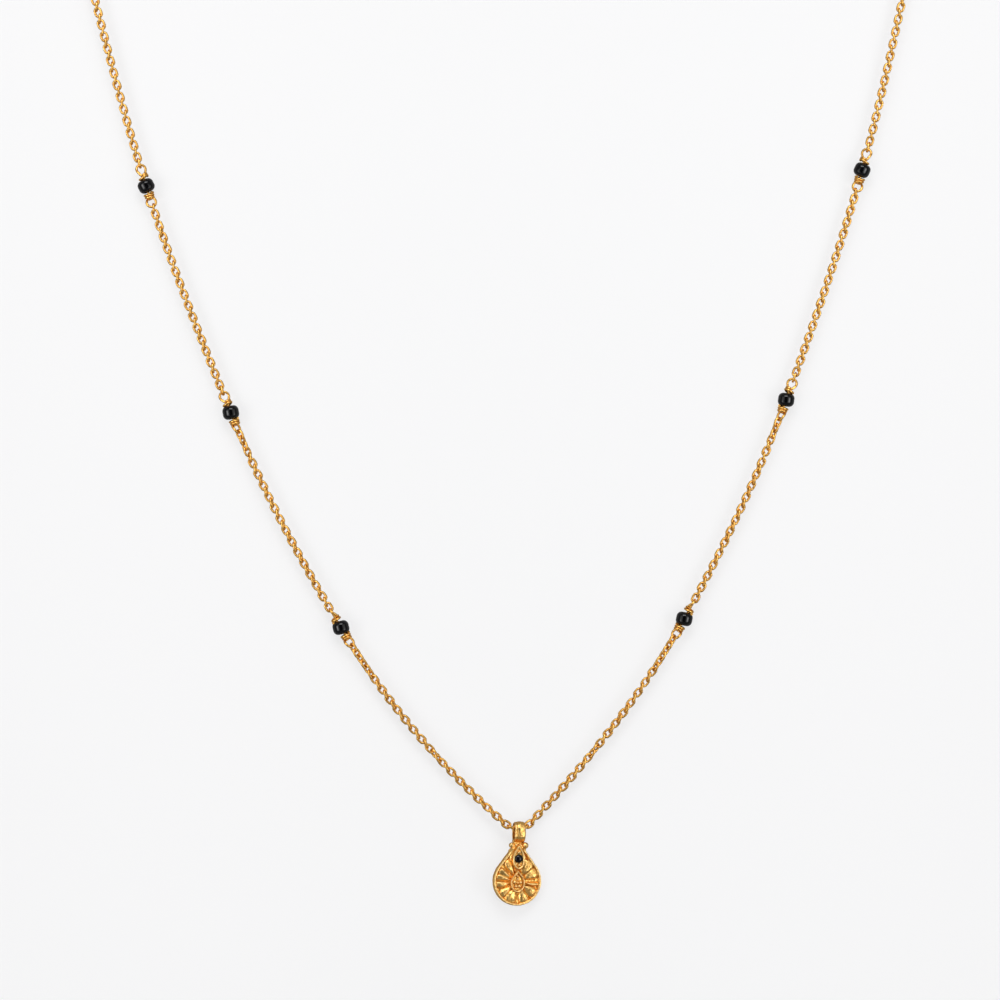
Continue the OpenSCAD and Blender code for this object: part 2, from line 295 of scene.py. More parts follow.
def hand_over(piece, name, body, finish, nodes, seat=Matrix.Identity(4)):
    """Sets a bench piece in the frame: its place goes into its mesh, in metres."""
    make_active(piece)
    bpy.ops.object.transform_apply()
    piece.name = name
    piece.data.name = name
    piece.data.transform(Matrix.Scale(MM, 4) @ seat)
    if seat.determinant() < 0:
        piece.data.flip_normals()
    piece.data.materials.clear()
    piece.data.materials.append(finish)
    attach(piece, body)
    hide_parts(*nodes)


# Finishes

# Places of a colour Mix node's two colours among its inputs, and of its result among its outputs
MIX_FROM, MIX_TO, MIX_RESULT = 6, 7, 2
# The relief at which gold starts to be a recess, darkened with painted shade and patina, or a
# crest, lightened with a painted highlight and rubbing, and at which it is wholly one
RELIEF_RANGES = {"recess": (0.46, -0.1), "crest": (0.46, 1.1)}


def feed(tree, node, inputs):
    """Gives a node's inputs their values, or links from outputs of other nodes."""
    for key, value in inputs.items():
        if isinstance(value, bpy.types.NodeSocket):
            tree.links.new(value, node.inputs[key])
        else:
            node.inputs[key].default_value = value


def add(tree, kind, inputs=None, **values):
    """Adds a node with its settings and its inputs, and gives its outputs."""
    node = tree.nodes.new("ShaderNode" + kind)
    for key, value in values.items():
        setattr(node, key, value)
    feed(tree, node, inputs or {})
    return node.outputs


def new_group(name, inputs):
    """A shader node group that puts out a surface's colour, roughness and normal, with what it
    is given and its result."""
    group = bpy.data.node_groups.new(name, "ShaderNodeTree")
    for title, value in inputs.items():
        kind = "NodeSocketColor" if isinstance(value, tuple) else "NodeSocketFloat"
        socket = group.interface.new_socket(name=title, in_out="INPUT", socket_type=kind)
        socket.default_value = value
    for title, kind in (("Colour", "Color"), ("Roughness", "Float"), ("Normal", "Vector")):
        group.interface.new_socket(name=title, in_out="OUTPUT", socket_type="NodeSocket" + kind)
    given = group.nodes.new("NodeGroupInput").outputs
    return group, given, group.nodes.new("NodeGroupOutput")


def patina_and_painted_light_group():
    """Shared shader group: gold that is darker in its recesses, partly patina and partly painted
    shade, and paler on its crests, partly rubbed bright and partly a painted highlight. It varies
    a little from place to place, with an uneven hand polish and a fine grain in the surface."""
    group, given, result = new_group("gold_patina_and_painted_light", {
        "Polished": (0.95, 0.6, 0.2, 1), "Deep": (0.6, 0.28, 0.05, 1), "Worn": (1.0, 0.7, 0.3, 1),
        "Recess": 0.0, "Crest": 0.0, "Mottle Scale": 900.0, "Mottle": 0.3, "Grain Scale": 9000.0,
        "Grain Height": 0.000004, "Smoothest": 0.16, "Roughest": 0.34})
    place = add(group, "TexCoord")["Object"]
    mottle = add(group, "TexNoise", {
        "Vector": place, "Scale": given["Mottle Scale"], "Detail": 3})["Fac"]
    grain = add(group, "TexNoise", {
        "Vector": place, "Scale": given["Grain Scale"], "Detail": 4})["Fac"]
    spread = add(group, "MapRange", {"Value": mottle, "From Min": 0.35, "From Max": 0.7})
    share = add(group, "Math", {0: spread[0], 1: given["Mottle"]}, operation="MULTIPLY")
    # Painted shade: the recess share darkens the gold towards its deep colour, on top of real
    # patina.
    total = add(group, "Math", {0: share[0], 1: given["Recess"]}, operation="ADD",
                use_clamp=True)
    tone = add(group, "Mix", {
        "Factor": total[0], MIX_FROM: given["Polished"], MIX_TO: given["Deep"]}, data_type="RGBA")
    # Painted highlight: the crest share lightens the gold towards a pale colour, on top of real
    # rubbing.
    wear_and_sheen = add(group, "Mix", {
        "Factor": given["Crest"], MIX_FROM: tone[MIX_RESULT], MIX_TO: given["Worn"]},
        data_type="RGBA")
    polish = add(group, "MapRange", {
        "Value": mottle, "To Min": given["Smoothest"], "To Max": given["Roughest"]})
    bump = add(group, "Bump", {
        "Height": grain, "Distance": given["Grain Height"], "Strength": 0.6})
    feed(group, result, {
        "Colour": wear_and_sheen[MIX_RESULT], "Roughness": polish[0], "Normal": bump[0]})
    return group


def gloss_group():
    """Shared shader group: the slight waviness and faint scratches of fired glass."""
    group, given, result = new_group("glass_surface", {
        "Body": (0.001, 0.001, 0.0012, 1), "Haze": (0.003, 0.003, 0.004, 1),
        "Wave Scale": 700.0, "Wave Height": 0.00001})
    place = add(group, "TexCoord")["Object"]
    wave = add(group, "TexNoise", {
        "Vector": place, "Scale": given["Wave Scale"], "Detail": 2})["Fac"]
    rub = add(group, "TexNoise", {"Vector": place, "Scale": 5000, "Detail": 5})["Fac"]
    tone = add(group, "Mix", {
        "Factor": rub, MIX_FROM: given["Body"], MIX_TO: given["Haze"]}, data_type="RGBA")
    polish = add(group, "MapRange", {
        "Value": rub, "From Min": 0.4, "From Max": 0.75, "To Min": 0.05, "To Max": 0.16})
    bump = add(group, "Bump", {
        "Height": wave, "Distance": given["Wave Height"], "Strength": 0.5})
    feed(group, result, {
        "Colour": tone[MIX_RESULT], "Roughness": polish[0], "Normal": bump[0]})
    return group


def bare_finish(name, inputs):
    """A material whose shader has its plain values."""
    finish = bpy.data.materials.new(name)
    finish.use_nodes = True
    shader = finish.node_tree.nodes["Principled BSDF"]
    feed(finish.node_tree, shader, inputs)
    return finish, finish.node_tree, shader


def dress(tree, shader, group, values):
    """Gives a shader the colour, roughness and normal of a shared group, with its inputs."""
    surface = add(tree, "Group", {
        key.replace("_", " ").title(): value for key, value in values.items()}, node_tree=group)
    feed(tree, shader, {"Base Color": surface["Colour"], "Roughness": surface["Roughness"],
                        "Normal": surface["Normal"]})


def gold_finish(name, relief=None, **values):
    """Gold with the shared patina, painted shade and painted highlight. relief names the mesh
    attribute that is low in its hollows and high on its crests, where the shade and highlight are
    painted."""
    gold = bpy.context.scene.necklace_gold
    finish, tree, shader = bare_finish(name, {"Metallic": 1, "Specular Tint": (*gold.edge, 1)})
    for key in ("polished", "deep", "worn"):
        values[key] = (*getattr(gold, key), 1)
    if relief:
        marks = add(tree, "Attribute", attribute_name=relief)["Fac"]
        for key, (start, end) in RELIEF_RANGES.items():
            share = add(tree, "MapRange", {"Value": marks, "From Min": start, "From Max": end})
            values[key] = share["Result"]
    dress(tree, shader, bpy.data.node_groups.get("gold_patina_and_painted_light") or patina_and_painted_light_group(), values)
    return finish


def glass_finish(name, **values):
    """Opaque black glass with the shared wavy gloss."""
    finish, tree, shader = bare_finish(name, {"IOR": 1.52, "Specular IOR Level": 0.34})
    dress(tree, shader, bpy.data.node_groups.get("glass_surface") or gloss_group(), values)
    return finish


def chain_gold():
    return bpy.data.materials.get("chain_gold") or gold_finish(
        "chain_gold", mottle_scale=700.0, mottle=0.4, smoothest=0.3, roughest=0.42)


# Settings


class NecklaceGold(bpy.types.PropertyGroup):
    """Colours of the gold"""

    polished: FloatVectorProperty(
        name="Polished", description="Colour of polished gold", subtype="COLOR",
        default=(0.98, 0.57, 0.15), min=0, max=1)
    # Dark gold in the hollows: partly patina, partly painted shade.
    deep: FloatVectorProperty(
        name="Deep", description="Colour of gold in hollows", subtype="COLOR",
        default=(0.6, 0.25, 0.04), min=0, max=1)
    # Pale gold on the crests: partly gold rubbed bright, partly a painted highlight.
    worn: FloatVectorProperty(
        name="Worn", description="Colour of gold on worn crests", subtype="COLOR",
        default=(1.0, 0.72, 0.32), min=0, max=1)
    edge: FloatVectorProperty(
        name="Edge", description="Tint of gold seen at a grazing angle", subtype="COLOR",
        default=(0.95, 0.7, 0.4), min=0, max=1)


class NecklaceChain(bpy.types.PropertyGroup):
    """Sizes of the cable chain"""

    wire: FloatProperty(
        name="Wire", description="Thickness of a link's wire", unit="LENGTH", default=0.4 * MM,
        min=0.0002, max=0.00045, precision=5)
    width: FloatProperty(
        name="Width", description="Width of a link", unit="LENGTH", default=1.38 * MM, min=0.001,
        max=0.002, precision=5)
    pitch: FloatProperty(
        name="Pitch", description="Length of chain that each link adds", unit="LENGTH",
        default=1.0 * MM, min=0.0008, max=0.0014, precision=5)
    sway: FloatProperty(
        name="Sway", description="How far a link may turn out of line", subtype="ANGLE",
        default=radians(7), min=0, max=radians(20))
    fall: FloatProperty(
        name="Fall", description="How far the links have rolled to one side", subtype="ANGLE",
        default=radians(14), min=0, max=radians(45))


class NecklaceBeads(bpy.types.PropertyGroup):
    """Sizes of the beads and of their wires"""

    width: FloatProperty(
        name="Bead", description="Bead across its roundest part", unit="LENGTH",
        default=2.62 * MM, min=0.0015, max=0.004, precision=5)
    rounding: FloatProperty(
        name="Rounding", description="Radius of a bead's rounded ends", unit="LENGTH",
        default=0.8 * MM, min=0.0002, max=0.001, precision=5)
    bore: FloatProperty(
        name="Bore", description="Hole of a bead", unit="LENGTH", default=0.6 * MM, min=0.0003,
        max=0.001, precision=5)
    wire: FloatProperty(
        name="Wire", description="Thickness of the wire through a bead", unit="LENGTH",
        default=0.4 * MM, min=0.0002, max=0.0005, precision=5)


class NecklaceDrop(bpy.types.PropertyGroup):
    """Sizes of the drop pendant"""

    radius: FloatProperty(
        name="Radius", description="Radius of the drop's round end", unit="LENGTH",
        default=3.92 * MM, min=0.002, max=0.008, precision=5)
    flank: FloatProperty(
        name="Flank", description="Slope of the straight flanks from the vertical",
        subtype="ANGLE", default=radians(36.5), min=0.3, max=0.9)
    border: FloatProperty(
        name="Border", description="Width of the plain border", unit="LENGTH", default=0.38 * MM,
        min=0.0002, max=0.001, precision=5)
    cast_step: FloatProperty(
        name="Cast detail", description="Finest detail that the casting keeps, in millimetres",
        default=0.055, min=0.04, max=0.2)
    softening: IntProperty(
        name="Softening", description="Rounds of polishing after the casting", default=3, min=0,
        max=20)


class NecklaceStage(bpy.types.PropertyGroup):
    """Surface, lights and camera"""

    floor: FloatVectorProperty(
        name="Floor", description="Colour of the pale surface", subtype="COLOR",
        default=(0.25, 0.25, 0.2515), min=0, max=1)
    glow: FloatProperty(
        name="Glow", description="Light that comes through the pale surface", default=2.8, min=0,
        max=5)
    bounce: FloatProperty(
        name="Bounce", description="Part of the surface's light that falls on the necklace",
        default=0.6, min=0, max=5)
    behind: FloatProperty(
        name="Light from behind",
        description="The same, where the necklace's back is seen through the surface",
        default=2.0, min=0, max=5)
    room: FloatProperty(
        name="Room", description="Brightness of the pale room", default=0.22, min=0, max=5)
    backdrop: FloatProperty(
        name="Backdrop", description="Brightness of the room as the camera sees it", default=0.9,
        min=0, max=5)
    patch: FloatProperty(
        name="Dark patch", description="Brightness of the room behind the camera", default=0.02,
        min=0, max=5)
    boxes: FloatProperty(
        name="Softboxes", description="Brightness of the softboxes", default=2.95, min=0, max=20)


# Operators


class NECKLACE_OT_stage(bpy.types.Operator):
    """Pale surface behind the necklace, soft studio lights and the camera"""

    bl_idname = "necklace.stage"
    bl_label = "Stage"

    LENS = 200
    SENSOR = 36
    FIELD = 0.160
    OPEN_GRID = 90
    CAMERA_X = 0.00016
    CAMERA_Z = HINGE.z * MM + 0.0526
    FLOOR_GAP = 0.0015
    FLOOR_SIZE = 1.4
    DARK_PATCH = (10, 40)

    def execute(self, context):
        stage = context.scene.necklace_stage
        self.camera(context)
        self.floor(stage)
        self.room(context, stage)
        for box in self.boxes():
            self.softbox(stage.boxes, *box)
        return {"FINISHED"}

    def camera(self, context):
        lens = bpy.data.cameras.new("camera")
        lens.lens = self.LENS
        lens.sensor_width = self.SENSOR
        camera = new_object("camera", lens)
        away = self.FIELD * self.LENS / self.SENSOR
        camera.location = (self.CAMERA_X, -away, self.CAMERA_Z)
        camera.rotation_euler = (pi / 2, 0, 0)
        context.scene.camera = camera
        context.scene.view_settings.view_transform = "Standard"

    def floor(self, stage):
        """The surface that the necklace lies on. Seen from behind it lets the view through."""
        clear_bench()
        bpy.ops.mesh.primitive_plane_add(
            size=self.FLOOR_SIZE, rotation=(pi / 2, 0, 0),
            location=(0, self.FLOOR_GAP, self.CAMERA_Z))
        floor = bpy.context.object
        floor.name = "pale_surface"
        pale = (*stage.floor, 1)
        finish, tree, shader = bare_finish("pale_paper", {
            "Base Color": pale, "Emission Color": pale, "Roughness": 0.9, "Specular IOR Level": 0})
        ray = add(tree, "LightPath")
        bounce = add(tree, "MapRange", {
            "Value": ray["Transparent Depth"], "To Min": stage.bounce, "To Max": stage.behind})
        glow = add(tree, "MapRange", {
            "Value": ray["Is Camera Ray"], "To Min": bounce["Result"], "To Max": stage.glow})
        feed(tree, shader, {"Emission Strength": glow["Result"]})
        side, clear = add(tree, "NewGeometry"), add(tree, "BsdfTransparent")
        mix = add(tree, "MixShader", {0: side["Backfacing"], 1: shader.outputs[0], 2: clear[0]})
        feed(tree, tree.nodes["Material Output"], {"Surface": mix[0]})
        floor.data.materials.append(finish)

    def room(self, context, stage):
        """A pale room, with a dark patch on the camera's side that gold and glass reflect."""
        world = bpy.data.worlds.new("pale_room")
        context.scene.world = world
        world.use_nodes = True
        tree = world.node_tree
        inner, outer = (-cos(radians(angle)) for angle in self.DARK_PATCH)
        part = add(tree, "SeparateXYZ", {0: add(tree, "TexCoord")["Generated"]})
        fade = add(tree, "MapRange", {
            "Value": part["Y"], "From Min": inner, "From Max": outer,
            "To Min": stage.patch, "To Max": stage.room}, interpolation_type="SMOOTHSTEP")
        ray = add(tree, "LightPath")
        seen = add(tree, "MapRange", {
            "Value": ray["Is Camera Ray"], "To Min": fade["Result"], "To Max": stage.backdrop})
        feed(tree, tree.nodes["Background"], {"Color": (1, 1, 1, 1), "Strength": seen["Result"]})

    def boxes(self):
        """Name, place, aim, size, half-angle of the grid and brightness of each softbox."""
        z = self.CAMERA_Z
        return [
            ("softbox_left", (-0.17, -0.115, z - 0.02), (-0.059, 0, z), (0.09, 0.24), 20, 2.3),
            ("softbox_right", (0.17, -0.115, z - 0.02), (0.059, 0, z), (0.09, 0.24), 20, 2.3),
            ("fill_left", (-0.3, -0.33, z), (0, 0, z), (0.3, 0.5), self.OPEN_GRID, 0.32),
            ("fill_right", (0.3, -0.33, z), (0, 0, z), (0.3, 0.5), self.OPEN_GRID, 0.32),
            ("softbox_top", (0, -0.42, z + 0.42), (0, 0, z), (0.4, 0.2), self.OPEN_GRID, 2.3),
        ]

    def softbox(self, power, name, place, target, size, grid, brightness):
        """A softbox whose grid keeps its light within an angle of its axis."""
        lamp = bpy.data.lights.new(name, "AREA")
        lamp.shape = "RECTANGLE"
        lamp.size, lamp.size_y = size
        lamp.energy = brightness * power * pi * size[0] * size[1]
        if grid < self.OPEN_GRID:
            half = radians(grid)
            lamp.spread = 2 * half
            lamp.energy *= 1 - half / tan(half)
        box = new_object(name, lamp)
        box.location = place
        aim = Vector(target) - Vector(place)
        box.rotation_euler = aim.to_track_quat("-Z", "Y").to_euler()


class NECKLACE_OT_chain(bpy.types.Operator):
    """Every stretch of cable chain, link by link, from the bail to the clasp"""

    bl_idname = "necklace.chain"
    bl_label = "Cable chain"

    BENDS = 16
    WIRE_SIDES = 6
    SLACK = 0.03
    LINK_HANG = 1.07
    TWIST_LENGTH = 8.0
    FRONT_TWIST = (18.8, 90)
    FACE_TILT = -7
    EDGE_TILT = 16
    TILT_SWAY = 0.3
    # Lengths over which the links of a stretch take up their lean and their tilt
    FALL_LENGTH = 4
    TILT_LENGTH = 2
    SEED = 11

    def execute(self, context):
        chain = context.scene.necklace_chain
        self.random = random.Random(self.SEED)
        form = self.link(chain)
        hang = EYE_MIDDLE + self.LINK_HANG
        front = []
        for side in (RIGHT, LEFT):
            seats = self.seats(chain, side, 0, station(1) - hang, 90, LOW_ROLLS[0] + 90,
                               twist=self.FRONT_TWIST)
            front += seats if side == RIGHT else seats[1:]
        self.lay(form, front, "cable_front", "chain_front")
        for name, side in SIDES.items():
            for k in (1, 2):
                seats = self.seats(chain, side, station(k) + hang, station(k + 1) - hang,
                                   HIGH_ROLLS[k - 1] + 90, LOW_ROLLS[k] + 90, more=k - 1)
                self.lay(form, seats, f"cable_{name}_{k}", f"chain_{name}_{k}")
            top = STRANDS[side].total - self.LINK_HANG
            seats = self.seats(chain, side, station(3) + hang, top, HIGH_ROLLS[2] + 90, 0)
            self.lay(form, seats, f"cable_{name}_nape", f"chain_{name}_back")
        bpy.data.objects.remove(form)
        return {"FINISHED"}

    def lay(self, form, seats, name, node):
        """Lays a link on each seat of a stretch."""
        hand_over(set_copies(form, seats), name, "root", chain_gold(), [node])

    def link(self, chain):
        """A ring of wire, pulled long at its middle."""
        wire, width, pitch = chain.wire / MM, chain.width / MM, chain.pitch / MM
        clear_bench()
        bpy.ops.mesh.primitive_torus_add(
            major_segments=self.BENDS, minor_segments=self.WIRE_SIDES, generate_uvs=False,
            major_radius=(width - wire) / 2, minor_radius=wire / 2)
        form = bpy.context.object
        pull = (pitch + self.SLACK + 2 * wire - width) / 2
        open_mesh(form)
        for way in (1, -1):
            pick(form, "VERT", lambda p: way * p.x > wire / 4)
            bpy.ops.transform.translate(value=(way * pull, 0, 0))
        close_mesh(form)
        bpy.ops.object.shade_smooth()
        return form

    def seats(self, chain, side, start, end, first_roll, last_roll, twist=(0, 0), more=0):
        """Seats of the links of one stretch. Each stands across the one before it, and the links
        seen face-on and edge-on lean opposite ways. The twist is a place and an angle."""
        count = round((end - start) / (chain.pitch / MM)) + more
        rest = last_roll - first_roll - 90 * count - twist[1]
        rest -= 180 * round(rest / 180)
        sway, fall = degrees(chain.sway), degrees(chain.fall)
        seats = []
        for i in range(count + 1):
            share = i / count
            s = blend(start, end, share)
            roll = first_roll + 90 * i + self.random.uniform(-sway, sway)
            roll += (fall * smooth((s - start) / self.FALL_LENGTH)
                     * smooth((end - s) / self.FALL_LENGTH))
            roll += twist[1] * smooth((s - twist[0]) / self.TWIST_LENGTH + 0.5)
            roll += rest * smooth((s - end) / self.TWIST_LENGTH + 1)
            tilt = blend(self.EDGE_TILT, self.FACE_TILT, sin(radians(roll)) ** 2)
            tilt += self.random.uniform(-self.TILT_SWAY, self.TILT_SWAY) * sway
            tilt *= smooth((s - start) / self.TILT_LENGTH)
            seats.append(STRANDS[side].seat(s, roll, tilt))
        return seats


class NECKLACE_OT_wires(bpy.types.Operator):
    """Wire through each bead, turned into an eye at both ends and wrapped beside the bead"""

    bl_idname = "necklace.wires"
    bl_label = "Bead wires"

    LOOP_STEPS = 14
    WRAP_STEPS = 12
    SIDES = 3
    # Turns of the wraps, their slant, and the length of the stem between bead and eye
    LOW_END = (2.5, 0.03, WRAP_LENGTH)
    HIGH_ENDS = ((1.7, 0.14, 0.6), (1.7, 0.32, 0.6), (1.4, 0.55, 0.4))
    # Where the ring of an eye starts and stops, and how much a short stem opens it, in degrees
    EYE_START = 42
    EYE_STOP = 332
    OPENING = 40
    EYE_LIFT = 1.05
    WRAP_START = -38
    WRAP_REACH = (0.62, 0.74)

    def execute(self, context):
        wire = context.scene.necklace_beads.wire / MM
        for name, side in SIDES.items():
            for k in (1, 2, 3):
                low = self.end(-1, LOW_ROLLS[k - 1], wire, *self.LOW_END)
                high = self.end(1, HIGH_ROLLS[k - 1], wire, *self.HIGH_ENDS[k - 1])
                piece = self.bend_wire(low[::-1] + high, wire)
                hand_over(piece, f"eye_wire_{name}_{k}", "root", chain_gold(),
                          [f"wire_{name}_{k}"], STRANDS[side].seat(station(k), 0))
        return {"FINISHED"}

    def end(self, way, roll, wire, turns, slant, stem):
        """Points from the bead's middle out round one eye and back in wraps over the stem. A short
        stem makes the eye a drop whose legs run down to the bead."""
        roll = radians(roll)
        out = Vector((way, 0, 0))
        across = Vector((0, cos(roll), sin(roll)))
        over = out.cross(across)
        ring, half = EYE_RING / 2, BEAD_LENGTH / 2
        points = [out * BEAD_LENGTH * f for f in (0.1, 0.3)]
        points += [out * (half + stem * f) for f in (0, 0.45)]
        legs = (WRAP_LENGTH - stem) * self.OPENING
        for i in range(self.LOOP_STEPS + 1):
            share = i / self.LOOP_STEPS
            turn = radians(blend(self.EYE_START + legs, self.EYE_STOP - legs, share))
            lift = self.EYE_LIFT * wire * smooth((share - 0.72) / 0.28)
            points.append(out * (EYE_MIDDLE - ring * cos(turn))
                          + across * ring * sin(turn) + over * lift)
        steps = round(self.WRAP_STEPS * turns)
        for i in range(steps + 1):
            share = i / steps
            turn = radians(self.WRAP_START + 360 * turns * share)
            reach = blend(*self.WRAP_REACH, smooth(share))
            level = blend(half + stem + 0.2, half + 0.14, share)
            level += slant * reach * sin(turn + 0.6)
            points.append(out * max(level, half + 0.15)
                          + (across * sin(turn) + over * cos(turn)) * reach)
        return points

    def bend_wire(self, points, wire):
        curve = bpy.data.curves.new("wire", "CURVE")
        curve.dimensions = "3D"
        curve.bevel_depth = wire / 2
        curve.bevel_resolution = self.SIDES
        curve.use_fill_caps = True
        curve.resolution_u = 3
        spline = curve.splines.new("NURBS")
        spline.points.add(len(points) - 1)
        for point, place in zip(spline.points, points):
            point.co = (*place, 1)
        spline.use_endpoint_u = True
        spline.order_u = 4
        make_active(new_object("wire", curve))
        bpy.ops.object.convert(target="MESH")
        piece = bpy.context.object
        bpy.ops.object.shade_smooth()
        return piece


class NECKLACE_OT_beads(bpy.types.Operator):
    """Six black glass beads, drilled and fire polished"""

    bl_idname = "necklace.beads"
    bl_label = "Beads"

    AROUND = 56
    TILTS = (17, 12, -10)
    SEED = 5

    def execute(self, context):
        beads = context.scene.necklace_beads
        shape = random.Random(self.SEED)
        form = self.bead(beads)
        finish = glass_finish("black_bead_glass")
        for name, side in SIDES.items():
            for k in (1, 2, 3):
                size = shape.uniform(0.98, 1.02), shape.uniform(0.985, 1.01)
                uneven = Matrix.Diagonal((*size, 1, 1))
                turn = Matrix.Rotation(shape.uniform(0, 6.28), 4, "X")
                seat = STRANDS[side].seat(station(k), 0, self.TILTS[k - 1]) @ turn @ uneven
                hand_over(set_copies(form, [seat]), f"glass_bead_{name}_{k}", "root",
                          finish, [f"bead_{name}_{k}"])
        bpy.data.objects.remove(form)
        return {"FINISHED"}

    def bead(self, beads):
        """A drum whose ends are drilled through, and whose rims are then rounded."""
        width, bore, rounding = beads.width / MM, beads.bore / MM, beads.rounding / MM
        half = BEAD_LENGTH / 2
        clear_bench()
        bpy.ops.mesh.primitive_cylinder_add(
            vertices=self.AROUND, radius=width / 2, depth=BEAD_LENGTH,
            rotation=(0, pi / 2, 0))
        form = settle()
        open_mesh(form)
        pick(form, "FACE", lambda p, n: abs(n.x) > 0.9)
        bpy.ops.mesh.inset(thickness=(width - bore) / 2, use_individual=True)
        pick(form, "FACE", lambda p, n: abs(n.x) > 0.9 and p.yz.length < bore / 4)
        bpy.ops.mesh.delete(type="FACE")
        pick(form, "EDGE", lambda a, b: abs(a.x - b.x) < 0.01
             and max(a.yz.length, b.yz.length) < bore)
        bpy.ops.mesh.bridge_edge_loops()
        pick(form, "EDGE", lambda a, b: abs(a.x - b.x) < 0.01
             and min(a.yz.length, b.yz.length) > width * 0.45)
        bpy.ops.mesh.bevel(offset=rounding, segments=10)
        pick(form, "EDGE", lambda a, b: abs(a.x - b.x) < 0.01 and abs(abs(a.x) - half) < 0.01
             and max(a.yz.length, b.yz.length) < bore * 0.6)
        bpy.ops.mesh.bevel(offset=0.07, segments=3)
        close_mesh(form, outwards=True)
        bpy.ops.object.shade_smooth()
        return form


class NECKLACE_OT_drop(bpy.types.Operator):
    """The cast drop: plate, border, petals, heart with grains, rim for the stone, neck and bail"""

    bl_idname = "necklace.drop"
    bl_label = "Drop pendant"

    PLATE = 0.55
    BORDER_HEIGHT = 0.58
    RIM_HEIGHT = 1.2
    FLANK_STEPS = 12
    ROUND_STEPS = 72
    PEAR_STEPS = 48
    PEAR_POINT = 1.7
    SEED = 8
    # Where each petal starts and ends round the heart, in degrees
    PETALS = ((10, 43), (43, 80), (80, 109), (109, 130), (138, 159), (159, 178), (178, 198),
              (207, 230), (230, 266), (277, 309), (309, 341), (349, 361))
    PETAL_START = 1.22
    PETAL_WIDTH = 1.28
    PETAL_ROUNDING = -0.15
    CREASE = 0.08
    # Grains: across, up and radius
    HEART_GRAINS = ((0, 1.02, 0.19), (0, 0.55, 0.22), (-0.5, 0.02, 0.26), (0, -0.05, 0.2),
                    (0.5, 0.02, 0.26), (-0.27, -0.62, 0.26), (0.28, -0.62, 0.26))
    STONE_GRAINS = ((0.05, 1.0, 0.24), (0.12, -0.98, 0.24), (-0.42, -0.8, 0.16))
    # Grains: across, up, height and radius
    NECK_GRAINS = ((-1.1, -2.62, 0.4, 0.45), (-0.92, -3.1, 0.35, 0.26),
                   (1.16, -2.62, 0.4, 0.52), (1.04, -3.14, 0.35, 0.3))
    HAMMER_SCALE = 0.45
    HAMMER_DEPTH = 0.1

    def execute(self, context):
        drop = context.scene.necklace_drop
        self.radius, self.flank, self.border = drop.radius / MM, drop.flank, drop.border / MM
        self.middle = drop_middle(drop)
        clear_bench()
        plate = self.slab(self.outline(0), -self.PLATE, 0.14, edge=0.1)
        border = self.rim(self.outline(self.border / 2), self.border, self.BORDER_HEIGHT)
        parts = [plate, border]
        for part in parts:
            self.trim(part)
        parts += self.petals() + self.heart() + self.stone_rim() + self.neck() + [self.bail()]
        piece = join(parts)
        self.cast(piece, drop)
        # The relief paints shade into the drop's hollows and highlights onto its crests, along
        # with patina and rubbing.
        finish = gold_finish("drop_gold", relief="relief", mottle_scale=1100.0, mottle=0.25,
                             smoothest=0.24, roughest=0.46, grain_scale=7000.0,
                             grain_height=0.00001)
        hand_over(piece, "cast_drop", "pendant", finish, ["pendant"], PENDANT_SEAT)
        return {"FINISHED"}

    def outline(self, inset):
        """Places and outward directions round the drop, anticlockwise from its point."""
        r, a = self.radius - inset, self.flank
        centre = Vector((0, self.middle, 0))
        tip = centre + Vector((0, r / sin(a), 0))
        left = Vector((-cos(a), sin(a), 0))
        right = Vector((cos(a), sin(a), 0))
        path = [(tip, Vector((0, 1, 0)))]
        shares = [i / self.FLANK_STEPS for i in range(1, self.FLANK_STEPS)]
        path += [(tip.lerp(centre + r * left, share), left) for share in shares]
        for i in range(self.ROUND_STEPS + 1):
            turn = pi - a + (pi + 2 * a) * i / self.ROUND_STEPS
            out = Vector((cos(turn), sin(turn), 0))
            path.append((centre + r * out, out))
        return path + [((centre + r * right).lerp(tip, share), right) for share in shares]

    def pear(self, x, y, wide, up, low):
        """Places and outward directions round a pear with its point upwards."""
        places = []
        for i in range(self.PEAR_STEPS):
            turn = radians(90 + 360 * i / self.PEAR_STEPS)
            level, side = sin(turn), cos(turn)
            if level > 0:
                side = copysign(1 - level ** self.PEAR_POINT, side) if abs(side) > 1e-6 else 0
            places.append(Vector((x + wide * side, y + (up if level > 0 else low) * level, 0)))
        return round_path(places, Vector((0, 0, 1)))

    def slab(self, path, bottom, top, edge=0.0):
        """A slab with a given outline, its upper edge rounded by edge."""
        bpy.ops.mesh.primitive_circle_add(vertices=len(path), radius=1, fill_type="NGON")
        piece = bpy.context.object
        for vertex, (place, _) in zip(piece.data.vertices, path):
            vertex.co = (place.x, place.y, bottom)
        open_mesh(piece, "FACE")
        bpy.ops.mesh.extrude_region_move(TRANSFORM_OT_translate={"value": (0, 0, top - bottom)})
        if edge:
            pick(piece, "EDGE", lambda a, b: abs(a.z - b.z) < 1e-4)
            bpy.ops.mesh.bevel(offset=edge, segments=3)
        return close_mesh(piece, outwards=True)

    def band(self, path, section, up=Vector((0, 0, 1))):
        """A closed band: a torus whose rings are set on a path and given a section."""
        bpy.ops.mesh.primitive_torus_add(
            major_segments=len(path), minor_segments=len(section), major_radius=1,
            minor_radius=0.2, generate_uvs=False)
        piece = bpy.context.object
        for vertex in piece.data.vertices:
            ring, side = divmod(vertex.index, len(section))
            place, out = path[ring]
            vertex.co = place + out * section[side][0] + up * section[side][1]
        return piece

    def rim(self, path, wall, height, base=-0.2):
        """A rounded rim that stands on the plate along a path."""
        section = [(wall / 2, base), (wall / 2, height * 0.72), (wall * 0.36, height * 0.93),
                   (0, height), (-wall * 0.36, height * 0.93), (-wall / 2, height * 0.72),
                   (-wall / 2, base)]
        return self.band(path, section)

